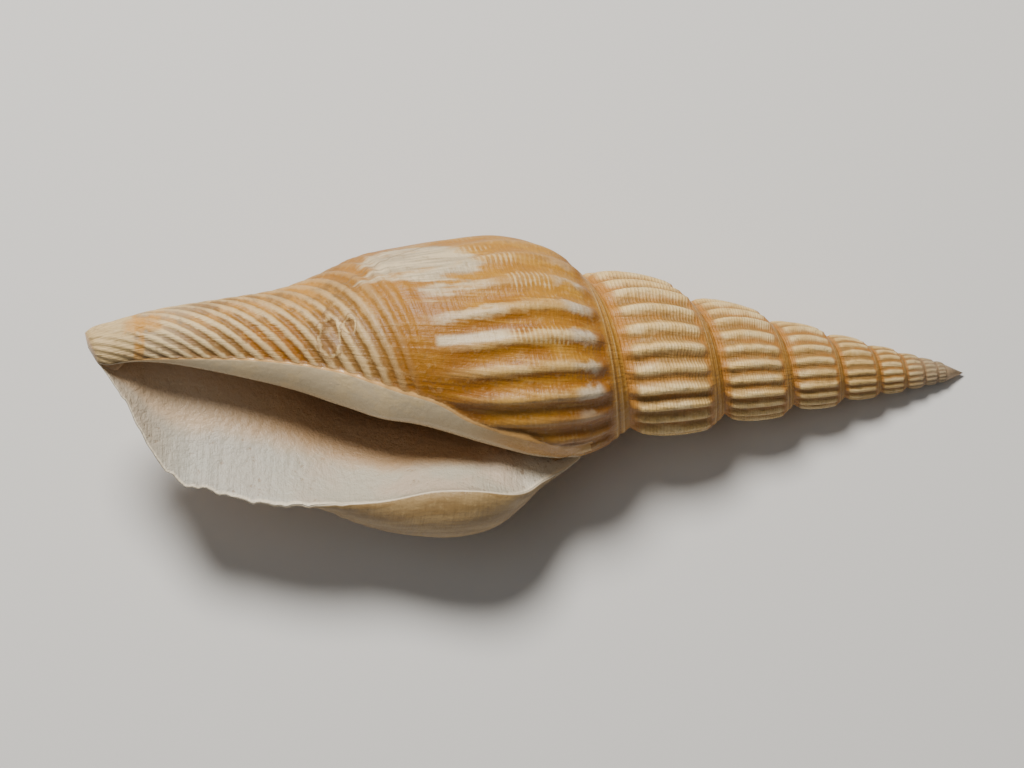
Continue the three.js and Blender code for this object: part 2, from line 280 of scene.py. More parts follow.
def distance_at(turn, along):
    return suture(turn) + along * (SHELL_LENGTH - suture(turn))


def on_last_whorl(turn):
    return turn > LAST_WHORL_START


def whorl_share(turn, distance):
    return np.log(distance / suture(turn)) / np.log(plain_suture(turn + 1) / plain_suture(turn))


# Smooth outside and inside


def body_radius(turn, along):
    growth = plain_suture(turn) / plain_suture(REFERENCE_TURN)
    return curve(BODY_OUTLINE, along) * (1 + (growth - 1) * (1 - along))


def spire_point(turn, distance):
    bluntness = APEX_BLUNTNESS * np.exp(-((distance / APEX_BLUNT_LENGTH) ** 2))
    radius = distance * curve(WHORL_OUTLINE, whorl_share(turn, distance)) + bluntness
    last = body_radius(turn, along_at(turn, distance))
    return placed(distance, blend(radius, last, smooth(turn, SPIRE_END, -1)), turn_angle(turn))


def mouth_fold(radius, distance, angle):
    edge = curve(CALLUS_FOLD_ANGLE, distance)
    fold = smooth(angle, edge, edge + MOUTH_FOLD_SPAN)
    return blend(radius, np.minimum(radius, curve(PILLAR_RADIUS, distance)), fold)


def bulge_shape(wing_share):
    power = BULGE_PLACE / (1 - BULGE_PLACE)
    return (wing_share / BULGE_PLACE) ** power * (1 - wing_share) / (1 - BULGE_PLACE)


def lip_wave(along):
    """The small notches and lobes of the lip's front half."""
    wave = 0
    for count, height, phase in LIP_WAVES:
        wave = wave + height * np.sin(2 * np.pi * count * along + phase)
    gain = blend(1, LIP_WAVE_FRONT_GAIN, smooth(along, *LIP_WAVE_FRONT))
    return gain * wave * smooth(along, *LIP_WAVE_ZONE) * (1 - smooth(along, *LIP_WAVE_END))


def body_point(turn, along):
    distance = distance_at(turn, along)
    wing = np.clip((turn - WING_START) / -WING_START, 0, 1)
    plain_angle = turn_angle(turn)
    plain_radius = mouth_fold(body_radius(turn, along), distance, plain_angle)
    flare = blend(body_radius(WING_START, along), curve(LIP_RADIUS, along), wing**WING_FLARE_POWER)
    bulge = curve(LIP_BULGE, along) * bulge_shape(wing)
    wing_radius = flare + bulge + lip_wave(along) * wing**LIP_WAVE_POWER
    wing_angle = blend(turn_angle(WING_START), curve(LIP_ANGLE, along), wing)
    radius = np.where(wing > 0, wing_radius, plain_radius)
    return placed(distance, radius, np.where(wing > 0, wing_angle, plain_angle))


def wall_slimness(turn, along):
    """1 where the shell is wide, and less towards the canal's tip."""
    return np.minimum(1, body_radius(turn, along) / FULL_WALL_RADIUS)


def wall_thickness(turn, along):
    thickness = blend(LIP_THICKNESS, WALL_THICKNESS, smooth(-turn, 0, LIP_THINNING_TURNS))
    thinned = blend(THIN_WALL_SHARE, 1, smooth(along, 0, THIN_WALL_LENGTH))
    return thickness * wall_slimness(turn, along) * thinned


def inner_wall_point(turn, along):
    before = body_point(turn - SLOPE_STEP, along)
    after = body_point(np.minimum(turn + SLOPE_STEP, 0), along)
    low = body_point(turn, np.maximum(along - SLOPE_STEP, 0))
    high = body_point(turn, np.minimum(along + SLOPE_STEP, 1))
    outward = np.cross(after - before, high - low)
    outward /= np.linalg.norm(outward, axis=-1, keepdims=True)
    return body_point(turn, along) - outward * wall_thickness(turn, along)[..., None]


def wall_along(turn, share):
    top = CAVITY_TOP * smooth(-turn, 0, CAVITY_TOP_TURNS)
    return blend(top, curve(CAVITY_END, turn), share)


def mouth_wall_point(turn, share):
    """The wall of the hollow. Behind the edge the thick lip makes it one nearly flat slope."""
    turn, share = np.broadcast_arrays(turn, share)
    plain = inner_wall_point(turn, wall_along(turn, share))
    edge = inner_wall_point(np.zeros_like(share), wall_along(0.0, share))
    back = inner_wall_point(np.full_like(share, -FILL_TURNS), wall_along(-FILL_TURNS, share))
    slope = blend(edge, back, np.clip(-turn / FILL_TURNS, 0, 1)[..., None])
    filled = curve(LIP_FILL, share) * (1 - smooth(-turn, FILL_FADE, FILL_TURNS))
    return blend(plain, slope, filled[..., None])


def pillar_point(turn, share):
    wall = mouth_wall_point(turn, share)
    distance = -wall[..., 0]
    height = wall[..., 1] - curve(AXIS_BEND, distance)
    wall_radius = np.hypot(height, wall[..., 2])
    wall_angle = np.degrees(np.arctan2(wall[..., 2], height)) % 360
    fold_angle = turn_angle(turn) + 360
    fold_radius = mouth_fold(body_radius(turn - 1, along_at(turn - 1, distance)), distance, fold_angle)
    opening = smooth(share, 0, CAVITY_ROUNDING) * (1 - smooth(share, 1 - CAVITY_TIP_ROUNDING, 1))
    near_angle = fold_angle + 360 * np.round((wall_angle - fold_angle) / 360)
    radius = blend(wall_radius, np.minimum(fold_radius, wall_radius * NARROWEST_CAVITY), opening)
    return placed(distance, radius, blend(wall_angle, near_angle, opening))


# Relief, in millimetres along the normal of the smooth surface


def rib_crest(turn, share):
    """0 between two ribs and 1 on a crest, before the ribs' ends are cut."""
    phase = curve(RIB_NUMBER, turn + RIB_LEAN * smooth(share, *RIB_LEAN_SHARES))
    return (1 + np.cos(2 * np.pi * phase)) / 2, np.round(phase)


def rib_window(turn, share, along):
    start = smooth(share, *RIB_START)
    spire_end = 1 - smooth(share, *SPIRE_RIB_END)
    body_end = (1 - smooth(along, *BODY_RIB_END)) * (1 - smooth(turn, *RIB_FADE))
    return start * blend(spire_end, body_end, smooth(turn, SPIRE_END, -1))


def cord_crest(turn, share):
    number = (share - CORD_SLANT * (turn - CORD_SLANT_TURN) - CORD_FIRST) / CORD_SPACING
    return (1 + np.cos(2 * np.pi * number)) / 2


def cord_window(turn, share):
    fade = blend(1, CORD_LIP_REST, smooth(turn, *CORD_LIP_FADE))
    return smooth(share, *CORD_START) * fade * on_last_whorl(turn)


def scar_reach(turn, share):
    """0 in the middle of the nearer worn spot beside the callus and 1 on its rim."""
    reaches = []
    for scar_turn, scar_share, turn_reach, share_reach in SCARS:
        along = (turn - scar_turn) / turn_reach
        across = (share - scar_share + SCAR_SLANT * (turn - scar_turn)) / share_reach
        wobble = 1 + SCAR_WOBBLE * np.sin(SCAR_LOBES * np.arctan2(across, along))
        reaches.append(np.hypot(along, across) * wobble)
    return np.minimum.reduce(reaches)


def fold_share(turn, distance, inside):
    """0 where the callus starts to fold into the hollow and 1 where the fold ends."""
    angle = turn_angle(turn) + np.where(inside == PILLAR, 360, 0)
    return (angle - curve(CALLUS_FOLD_ANGLE, distance)) / MOUTH_FOLD_SPAN


def callus_cover(turn, distance):
    """How far a place lies under the callus, in degrees from its upper edge, for turns from -1 on."""
    return turn_angle(turn) - curve(CALLUS_TOP_ANGLE, distance)


def band_relief(share, distance):
    scale = np.minimum(distance / BAND_SCALE_DISTANCE, 1)
    relief = -GROOVE_DEPTH * np.exp(-(((share - GROOVE_SHARE) / GROOVE_WIDTH) ** 2))
    for place in BAND_RIDGES:
        relief = relief + BAND_RIDGE_HEIGHT * np.exp(-(((share - place) / BAND_RIDGE_WIDTH) ** 2))
    return relief * scale * smooth(share, 0, BAND_RIDGES[0])


def scar_relief(turn, share):
    reach = scar_reach(turn, share)
    rim = SCAR_RIM_HEIGHT * np.exp(-(((reach - 1) / SCAR_RIM_WIDTH) ** 2))
    return (rim - SCAR_DEPTH * (1 - smooth(reach, SCAR_FLOOR_REACH, 1))) * on_last_whorl(turn)


def callus_share(turn, distance):
    """1 on the callus and 0 off it, with a smooth step at its upper edge and at its back end."""
    half_edge = CALLUS_EDGE_DEGREES / 2
    covered = smooth(callus_cover(turn, distance), -half_edge, half_edge)
    near_mouth = on_last_whorl(turn) * (turn < CALLUS_LAST_TURN)
    return covered * near_mouth * smooth(distance, *CALLUS_FIRST_DISTANCES)


def outside_relief(turn, distance, share, along):
    crest, number = rib_crest(turn, share)
    variety = 1 + RIB_VARIETY * np.sin(RIB_VARIETY_STEP * number)
    past_spire = smooth(turn, SPIRE_END, -1)
    gain = blend(SPIRE_RIB_GAIN, 1, past_spire)
    sharpness = blend(SPIRE_RIB_SHARPNESS, RIB_SHARPNESS, past_spire)
    ribs = gain * RIB_HEIGHT * distance * (crest**sharpness * variety - RIB_MEAN)
    ribs = ribs * rib_window(turn, share, along)
    cords = CORD_HEIGHT * (2 * cord_crest(turn, share) - 1) * cord_window(turn, share)
    band = band_relief(share, distance) * (1 - smooth(turn, *LIP_SMOOTH))
    slimness = np.where(on_last_whorl(turn), wall_slimness(turn, along), 0)
    open_relief = ribs + cords * slimness + band + scar_relief(turn, share)
    return blend(open_relief, CALLUS_HEIGHT * slimness, callus_share(turn, distance))


# Mesh: patches of samples that share their border points


class Surface:
    """Points shared between patches, and triangles whose corners know their place on the shell."""

    def __init__(self):
        self.positions = []
        self.reliefs = []
        self.corners = []
        self.places = []
        self.count = 0

    def add_points(self, positions):
        """Stores an array of points and returns their numbers, in the array's shape."""
        flat = positions.reshape(-1, 3)
        self.positions.append(flat)
        numbers = self.count + np.arange(len(flat))
        self.count += len(flat)
        return numbers.reshape(positions.shape[:-1])

    def add_triangles(self, numbers, places, relief):
        """numbers are point numbers (n, 3), places their (turn, distance, inside) values (n, 3, 3)."""
        good = np.all(numbers != np.roll(numbers, 1, axis=1), axis=1)
        self.corners.append(numbers[good])
        self.places.append(places[good])
        self.reliefs.append(relief[good])

    def add_grid(self, numbers, places, relief, flipped=False):
        """Covers a grid of points, columns along the first axis and rows along the second."""
        a, b = np.s_[:-1, :-1], np.s_[1:, :-1]
        c, d = np.s_[1:, 1:], np.s_[:-1, 1:]
        for corner in ((a, b, c), (a, c, d)):
            order = corner[::-1] if flipped else corner
            triangle = np.stack([numbers[k].ravel() for k in order], axis=1)
            place = np.stack([places[k].reshape(-1, places.shape[-1]) for k in order], axis=1)
            height = np.stack([relief[k].ravel() for k in order], axis=1)
            self.add_triangles(triangle, place, height)

    def joined(self):
        return (
            np.concatenate(self.positions),
            np.concatenate(self.corners),
            np.concatenate(self.places),
            np.concatenate(self.reliefs),
        )


def place_values(turn, distance, inside):
    turn, distance, inside = np.broadcast_arrays(turn, distance, inside)
    return np.stack([turn, distance, inside], axis=-1).astype(float)


def row_distance(turn, share):
    """Distance of a whorl's row from the apex: the band keeps its width where the lip climbs."""
    start = suture(turn)
    full = plain_suture(turn + 1) / plain_suture(turn)
    end = np.where(turn < -1, suture(turn + 1), start * suture(0.0) / suture(-1.0))
    band_end = start * full**BAND_SHARE
    rest = np.clip((share - BAND_SHARE) / (1 - BAND_SHARE), 0, 1)
    return np.where(share <= BAND_SHARE, start * full**share, band_end * (end / band_end) ** rest)


def build_outside(surface):
    """Adds the spire and the last whorl, and returns the last whorl's point numbers and row places."""
    column_count = round(-FIRST_TURN * COLUMNS_PER_TURN)
    body_start = column_count - COLUMNS_PER_TURN
    turns = (np.arange(column_count + 1) - column_count) / COLUMNS_PER_TURN
    on_earlier = np.where(np.arange(column_count + 1) < COLUMNS_PER_TURN, turns, turns - 1)
    ring = surface.add_points(spire_point(on_earlier, suture(turns)))
    spire_turns, body_turns = turns[:body_start + 1, None], turns[body_start:, None]
    spire_distance, spire = add_spire_points(surface, spire_turns, ring)
    body_distance, body_along, body = add_body_points(surface, body_turns, ring[body_start:])
    spire[-1, 1:-1] = body[0, 1:len(WHORL_SHARES) - 1]
    add_outside_patch(surface, spire, spire_turns, spire_distance)
    add_outside_patch(surface, body, body_turns, body_distance)
    close_ends(surface, ring, spire, body)
    return body, body_along


def add_spire_points(surface, turns, ring):
    """Adds the points between the suture's turns, and returns all rows' distances and numbers."""
    distance = row_distance(np.minimum(turns, -1 - TINY), np.array(WHORL_SHARES)[None, :])
    numbers = np.empty(distance.shape, dtype=int)
    numbers[:, 1:-1] = surface.add_points(spire_point(turns, distance)[:, 1:-1])
    numbers[:, 0] = ring[:len(turns)]
    numbers[:, -1] = ring[COLUMNS_PER_TURN:]
    return distance, numbers


def add_body_points(surface, turns, suture_line):
    """Adds the last whorl's points, and returns their distances, values along and numbers."""
    whorl = row_distance(turns, np.array(WHORL_SHARES)[None, :])
    rest = blend(whorl[:, -1:], SHELL_LENGTH, row_shares()[None, 1:])
    distance = np.concatenate([whorl, rest], axis=1)
    along = along_at(turns, distance)
    numbers = np.empty(distance.shape, dtype=int)
    numbers[:, 1:] = surface.add_points(body_point(turns, along)[:, 1:])
    numbers[:, 0] = suture_line
    numbers[0, len(WHORL_SHARES) - 1] = suture_line[-1]
    numbers[-1, -1] = numbers[0, -1]
    return distance, along, numbers


def row_shares():
    """Shares of the rows past the spire's last suture, a little closer together near it."""
    return (np.arange(BODY_ROWS + 1) / BODY_ROWS) ** BODY_ROW_CROWDING


def add_outside_patch(surface, numbers, turns, distance):
    turn = np.broadcast_to(turns, distance.shape)
    relief = outside_relief(turn, distance, whorl_share(turn, distance), along_at(turn, distance))
    surface.add_grid(numbers, place_values(turn, distance, OUTER_SIDE), relief)


def close_ends(surface, ring, spire, body):
    apex = surface.add_points(np.array([[-APEX_NUCLEUS, 0.0, 0.0]]))[0]
    tip = surface.add_points(placed(np.array([SHELL_LENGTH + TIP_ROUNDING]), 0, TIP_ANGLE))[0]
    first_ring = ring[:COLUMNS_PER_TURN + 1]
    fan_to(surface, first_ring[::-1], apex, FIRST_TURN, suture(FIRST_TURN))
    fan_to(surface, spire[0], apex, FIRST_TURN, suture(FIRST_TURN))
    fan_to(surface, body[:, -1], tip, -1, SHELL_LENGTH)


def fan_to(surface, line, point, turn, distance):
    triangles = np.stack([line[:-1], line[1:], np.full(len(line) - 1, point)], axis=1)
    places = place_values(np.full(triangles.shape, turn), distance, OUTER_SIDE)
    surface.add_triangles(triangles, places, np.zeros(triangles.shape))


def build_hollow(surface, body, body_along):
    """Adds the wall of the hollow, the lip's edge and the pillar, and closes the hollow's back."""
    turns = -CAVITY_TURNS * np.linspace(0, 1, CAVITY_COLUMNS + 1)[:, None]
    wall_shares, pillar_shares = body_along[-1], row_shares()
    wall = add_wall(surface, body[-1], turns, wall_shares)
    pillar = add_pillar(surface, body[0, len(WHORL_SHARES) - 1:], wall, turns, pillar_shares)
    join_lines(surface, wall[-1], wall_shares, pillar[-1], pillar_shares)


def add_wall(surface, lip, turns, shares):
    points = mouth_wall_point(turns, shares[None, :])
    numbers = np.empty(points.shape[:-1], dtype=int)
    numbers[0, 1:-1] = surface.add_points(points[0, 1:-1])
    numbers[0, [0, -1]] = lip[[0, -1]]
    numbers[1:] = surface.add_points(points[1:])
    distance = distance_at(turns, wall_along(turns, shares[None, :]))
    surface.add_grid(numbers, place_values(turns, distance, HOLLOW_WALL), np.zeros(numbers.shape))
    round_edge(surface, lip, numbers[0], shares, points[0])
    return numbers


def add_pillar(surface, first_line, wall, turns, shares):
    numbers = np.empty((len(turns), len(shares)), dtype=int)
    numbers[0] = first_line
    numbers[1:, 1:-1] = surface.add_points(pillar_point(turns[1:], shares[None, :])[:, 1:-1])
    numbers[1:, [0, -1]] = wall[1:, [0, -1]]
    distance = distance_at(turns, wall_along(turns, shares[None, :]))
    slimness = wall_slimness(-1.0, along_at(-1.0, distance))
    relief = CALLUS_HEIGHT * smooth(turns, *CALLUS_END) * slimness
    surface.add_grid(numbers, place_values(turns, distance, PILLAR), relief, flipped=True)
    return numbers


def round_edge(surface, lip, inner, shares, inner_points):
    """Rounds the lip between its outer and its inner edge."""
    outer_points = body_point(np.zeros(len(shares)), shares)
    before = body_point(np.full(len(shares), -SLOPE_STEP), shares)
    forward = outer_points - before
    forward /= np.maximum(np.linalg.norm(forward, axis=1, keepdims=True), TINY)
    width = np.linalg.norm(inner_points - outer_points, axis=1, keepdims=True)
    lines = [lip]
    for step in range(1, EDGE_LINES + 1):
        share = step / (EDGE_LINES + 1)
        bulge = EDGE_ROUNDING * width * math.sin(math.pi * share)
        middle = blend(outer_points, inner_points, share) + forward * bulge
        numbers = surface.add_points(middle)
        numbers[[0, -1]] = lip[[0, -1]]
        lines.append(numbers)
    lines.append(inner)
    edge = np.stack(lines)
    inside = np.linspace(OUTER_SIDE, HOLLOW_WALL, len(lines))[:, None]
    places = place_values(np.zeros(edge.shape), distance_at(0.0, shares)[None, :], inside)
    surface.add_grid(edge, places, np.zeros(edge.shape))


def join_lines(surface, first, first_shares, second, second_shares):
    """Covers the strip between two lines with the same ends and different numbers of points."""
    i = j = 0
    triangles = []
    while i < len(first) - 1 or j < len(second) - 1:
        at_end = j == len(second) - 1
        if at_end or (i < len(first) - 1 and first_shares[i + 1] <= second_shares[j + 1]):
            triangles.append((first[i], second[j], first[i + 1]))
            i += 1
        else:
            triangles.append((first[i], second[j], second[j + 1]))
            j += 1
    triangles = np.array(triangles)
    places = place_values(np.full(triangles.shape, -CAVITY_TURNS), SUTURE_AT_LIP, HOLLOW_WALL)
    surface.add_triangles(triangles, places, np.zeros(triangles.shape))


def point_normals(points, corners):
    a, b, c = (points[corners[:, k]] for k in range(3))
    face = np.cross(b - a, c - a)
    normals = np.zeros_like(points)
    for k in range(3):
        for axis in range(3):
            normals[:, axis] += np.bincount(corners[:, k], weights=face[:, axis], minlength=len(points))
    return normals / np.maximum(np.linalg.norm(normals, axis=1, keepdims=True), TINY_AREA)


def raised(points, corners, reliefs):
    """Moves each point along its normal by the mean relief of the corners that share it."""
    total = np.bincount(corners.ravel(), weights=reliefs.ravel(), minlength=len(points))
    count = np.bincount(corners.ravel(), minlength=len(points))
    relief = total / np.maximum(count, 1)
    return points + point_normals(points, corners) * relief[:, None]


def rest_rotation():
    roll = Matrix.Rotation(math.radians(REST_ROLL), 3, "X")
    return Matrix.Rotation(math.radians(REST_PITCH), 3, "Y") @ roll


def laid_down(points):
    """The points turned as the shell lies, still in millimetres."""
    return points @ np.array(rest_rotation()).T


def shell_shift(smooth_points):
    """The move in millimetres that lays the turned shell over the solid it replaces."""
    low, high = (np.array(corner) * MM_PER_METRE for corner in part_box("shell"))
    middle = (low + high) / 2 - (smooth_points.min(axis=0) + smooth_points.max(axis=0)) / 2
    middle[2] = low[2] - smooth_points[:, 2].min()
    return middle


def build_shell():
    surface = Surface()
    body, body_along = build_outside(surface)
    build_hollow(surface, body, body_along)
    points, corners, places, reliefs = surface.joined()
    used, corners = np.unique(corners, return_inverse=True)
    corners = corners.reshape(-1, 3)
    smooth_points = points[used]
    shift = shell_shift(laid_down(smooth_points))
    final = laid_down(raised(smooth_points, corners, reliefs)) + shift
    final[:, 2] = np.maximum(final[:, 2], 0)
    mesh = mesh_from(final / MM_PER_METRE, corners)
    set_corner_values(mesh, places)
    return add_object("conch_shell", mesh), shift


def add_object(name, data):
    new_object = bpy.data.objects.new(name, data)
    bpy.context.scene.collection.objects.link(new_object)
    return new_object


def mesh_from(points, corners):
    mesh = bpy.data.meshes.new("conch_shell")
    mesh.vertices.add(len(points))
    mesh.vertices.foreach_set("co", points.ravel())
    mesh.loops.add(corners.size)
    mesh.loops.foreach_set("vertex_index", corners.ravel().astype(np.int32))
    mesh.polygons.add(len(corners))
    mesh.polygons.foreach_set("loop_start", np.arange(0, corners.size, 3, dtype=np.int32))
    mesh.update(calc_edges=True)
    mesh.shade_smooth()
    return mesh


def set_corner_values(mesh, places):
    """Stores, for the material, where each corner lies on the shell and on its relief."""
    turn, distance, inside = (places[..., k].ravel() for k in range(3))
    share = whorl_share(turn, distance)
    along = along_at(turn, distance)
    on_body = on_last_whorl(turn)
    outside = inside == OUTER_SIDE
    on_pillar = inside == PILLAR
    callus = np.where(outside, callus_cover(turn, distance), DEEP_UNDER_CALLUS)
    near_mouth = on_body & (turn < CALLUS_LAST_TURN) & (distance > CALLUS_FIRST_DISTANCES[0])
    callus = np.where(near_mouth | on_pillar, callus, CLEAR_OF_CALLUS)
    scar = np.where(on_body & outside, scar_reach(turn, share), CLEAR_OF_SCARS)
    folded = fold_share(turn, distance, inside)
    # On the hollow's wall the depth is the turn measured against where the brown and painted shade begin.
    depth = np.where(outside | on_pillar, folded, -turn / curve(BROWN_AND_SHADE_START, distance))
    store(mesh, "growth", turn, share, distance)
    store(mesh, "ribs", rib_crest(turn, share)[0], rib_window(turn, share, along), along)
    store(mesh, "cords", cord_crest(turn, share), cord_window(turn, share), scar)
    store(mesh, "zone", inside, callus, depth)


def store(mesh, name, *values):
    attribute = mesh.attributes.new(name, "FLOAT_VECTOR", "CORNER")
    stacked = np.stack(np.broadcast_arrays(*values), axis=-1)
    attribute.data.foreach_set("vector", stacked.astype(np.float32).ravel())


# Colours, linear red, green and blue
CREST_CREAM = (0.80, 0.54, 0.20)
CREST_WHITE = (0.90, 0.66, 0.32)
SPIRE_CREAM = (0.88, 0.58, 0.21)
SPIRE_WHITE = (0.95, 0.70, 0.33)
SPIRE_TAN = (0.38, 0.20, 0.05)
SPIRE_GOLD = (0.49, 0.20, 0.028)
BLUISH_WHITE = (0.70, 0.64, 0.50)
ORANGE = (0.46, 0.205, 0.015)
DEEP_ORANGE = (0.33, 0.12, 0.008)
PALE_ORANGE = (0.63, 0.33, 0.045)
GROOVE_BROWN = (0.29, 0.12, 0.02)
BAND_ORANGE = (0.52, 0.26, 0.04)
BARE_GREY = (0.54, 0.45, 0.29)
BARE_LIGHT = (0.79, 0.65, 0.41)
BARE_LINE = (0.40, 0.29, 0.16)
LATTICE_CREAM = (0.84, 0.62, 0.30)
CRACK_BROWN = (0.25, 0.16, 0.08)
CORD_TAN = (0.24, 0.125, 0.035)
CORD_GREY = (0.42, 0.31, 0.18)
CORD_CREAM = (0.70, 0.48, 0.22)
CORD_WHITE = (0.88, 0.66, 0.34)
TIP_WHITE = (0.69, 0.49, 0.23)
TIP_LINE = (0.42, 0.29, 0.14)
TIP_ORANGE = (0.62, 0.29, 0.04)
APEX_GREY = (0.50, 0.43, 0.33)
SCAR_BROWN = (0.34, 0.17, 0.055)
SCAR_LINE = (0.27, 0.14, 0.05)
LIP_KHAKI = (0.44, 0.31, 0.15)
LIP_SHADE = (0.30, 0.20, 0.09)
RIM_CREAM = (0.84, 0.73, 0.55)
MOUTH_WHITE = (0.53, 0.48, 0.37)
MOUTH_PINK = (0.57, 0.46, 0.34)
MOUTH_COOL = (0.48, 0.46, 0.39)
# Painted light: a paler white that brightens the back end of the hollow's wall, which the callus shades.
MOUTH_BACK_PAINTED_LIGHT = (0.74, 0.70, 0.58)
# The hollow's deep brown: partly the shell's own colour, partly painted shade where the body and callus
# shade the wall.
MOUTH_BROWN_AND_SHADE = (0.54, 0.35, 0.19)
CANAL_BROWN = (0.64, 0.47, 0.30)
CALLUS_WHITE = (0.73, 0.58, 0.36)
CALLUS_TAN = (0.56, 0.28, 0.055)
CALLUS_RIM = (0.68, 0.37, 0.12)
CALLUS_SHADOW = (0.20, 0.09, 0.02)
CALLUS_FOLD = (0.78, 0.66, 0.47)
PIT_BROWN = (0.30, 0.20, 0.12)
GRAIN_BROWN = (0.25, 0.15, 0.06)

# Values that the tables below name. These are stored on the mesh, three to an attribute.
STORED_VALUES = {
    "growth": ("turn", "share", "distance"),
    "ribs": ("crest", "rib_window", "along"),
    "cords": ("cord", "cord_window", "scar"),
    "zone": ("inside", "callus", "depth"),
}

# Even noises: scale, detail and roughness
PLAIN_NOISES = {
    "blotches": (170.0, 3.0, 0.55),
    "patches": (420.0, 4.0, 0.6),
    "specks": (1500.0, 4.0, 0.65),
}

# Noises drawn out over the shell: two values with the cells to one of each, a start, the detail
DRAWN_NOISES = {
    "growth_lines": (("turn", 130.0), ("share", 2.5), 0.0, 4.0),
    "streaks": (("turn", 75.0), ("share", 3.5), 7.0, 3.0),
    "spiral_lines": (("turn", 14.0), ("share", 42.0), 0.0, 3.0),
    "scattered": (("turn", 38.0), ("share", 5.0), 3.0, 1.0),
    "lip_lines": (("along", 130.0), ("depth", 1.2), 0.0, 2.0),
}
DRAWN_ROUGHNESS = 0.55

# Sine waves: a value and the waves to one of it
LATTICE_SPACING = 0.033
WAVES = {
    "lattice_wave": ("share", 1 / LATTICE_SPACING),
    "tip_wave": ("turn", 44),
}

# How far a value is from a place
DISTANCES = {
    "groove": ("share", GROOVE_SHARE),
    "upper_ridge": ("share", BAND_RIDGES[0]),
    "lower_ridge": ("share", BAND_RIDGES[1]),
    "bare_across": ("share", 1.22),
    "bare_along": ("turn", -0.583),
    "white_rib": ("leaning_turn", -0.71),
    "crack": ("crack_turn", -0.387),
    "fold": ("depth", 0.08),
}

# Values moved up and down by noises, each given with how far it moves the value in all
UNEVEN_VALUES = {
    "worn_wave": ("lattice_wave", ("specks", 2.2), ("growth_lines", 3.0)),
    "rib_edge": ("crest", ("patches", 0.6), ("growth_lines", 0.8), ("specks", 0.3)),
    "rib_end_edge": ("rib_ends", ("patches", 0.8)),
    "worn_crest": ("crest", ("growth_lines", 2.2), ("specks", 0.6)),
    "fleck_crest": ("crest", ("patches", 2.2), ("specks", 0.6)),
    "lattice_crest": ("crest", ("patches", 1.4)),
    "white_rib_edge": ("white_rib", ("patches", 0.006), ("specks", 0.006)),
    "wavy_share": ("share", ("patches", 0.1)),
    "wavy_turn": ("turn", ("patches", 0.01)),
    "wavy_distance": ("distance", ("patches", 1.0)),
    "cord_valley": ("blotches", ("specks", 0.2)),
    "cord_edge": ("cord", ("patches", 1.2), ("specks", 0.6), ("growth_lines", 0.5)),
    "bare_edge": ("bare_reach", ("patches", 2.2), ("streaks", 3.2), ("specks", 0.8)),
    "bare_lines": ("growth_lines", ("specks", 0.2)),
    "tip_lines": ("tip_wave", ("patches", 1.0)),
    "scar_edge": ("scar", ("specks", 0.8), ("patches", 0.5)),
    "hollow_depth": ("depth", ("patches", 0.4)),
    "fold_depth": ("depth", ("patches", 0.15)),
    "callus_edge": ("callus", ("patches", 3.0)),
    "callus_rim": ("callus", ("patches", 2.0)),
}

# Sums of parts. A part is a strength times its places. A place is the name of a value, or a name with
# two levels, between which it rises from 0 to 1, or falls where the first is the higher one. With
# four levels it begins at the first, is full from the second to the third, and ends at the fourth.
BARE_REACH_ACROSS = 0.28
BARE_REACH_ALONG = 0.056
SUMS = {
    "on_spire": ((1.0, ("turn", -1.0, -1.3)),),
    "on_body": ((1.0, ("turn", -1.3, -1.0)),),
    "striae": ((1.0, ("worn_wave", -0.4, 0.9)),),
    "leaning_turn": ((1.0, "turn"), (0.034, ("share", *RIB_LEAN_SHARES))),
    "crack_turn": ((1.0, "wavy_turn"), (0.13, "share")),
    "bare_reach": (
        (BARE_REACH_ACROSS**-2, "bare_across", "bare_across"),
        (BARE_REACH_ALONG**-2, "bare_along", "bare_along"),
    ),
    # Crest colour is full on the face of the last whorl, weaker above it, and weaker on its lower side as
    # painted shade.
    "rib_brightness": ((0.15,), (0.52, ("turn", -0.85, -0.78, -0.7, -0.62))),
    "rib_light": (
        (1.0, "on_body", "rib_brightness", ("rib_edge", 0.45, 1.05), ("share", 0.2, 0.32)),
        (0.86, "on_spire", ("rib_edge", 0.05, 0.9)),
        (0.14, "on_spire", ("rib_edge", 0.05, 0.9), "striae"),
    ),
    "rib_ends": ((1.0, ("share", 0.84, 0.97)), (1.0, ("share", 0.27, 0.15))),
    "lattice_spots": (
        (0.12, ("scattered", 0.5, 0.6), ("share", 0.4, 0.5, 1.0, 1.15)),
        (0.6, ("share", 0.66, 0.7, 0.92, 0.97), ("turn", -0.61, -0.6, -0.565, -0.555)),
        (0.6, ("share", 0.46, 0.5, 0.74, 0.79), ("turn", -0.665, -0.655, -0.625, -0.615)),
        (0.6, ("share", 0.4, 0.48, 0.84, 0.88), ("turn", -0.735, -0.73, -0.712, -0.705)),
    ),
    "cord_cover": ((1.0, "cord_window", ("share", 1.38, 1.72)),),
    "cord_brightness": ((0.45,), (0.4, ("turn", -1.05, -0.97, -0.68, -0.58))),
    "ridges": ((1.0, ("upper_ridge", 0.012, 0.003)), (1.0, ("lower_ridge", 0.011, 0.003))),
}

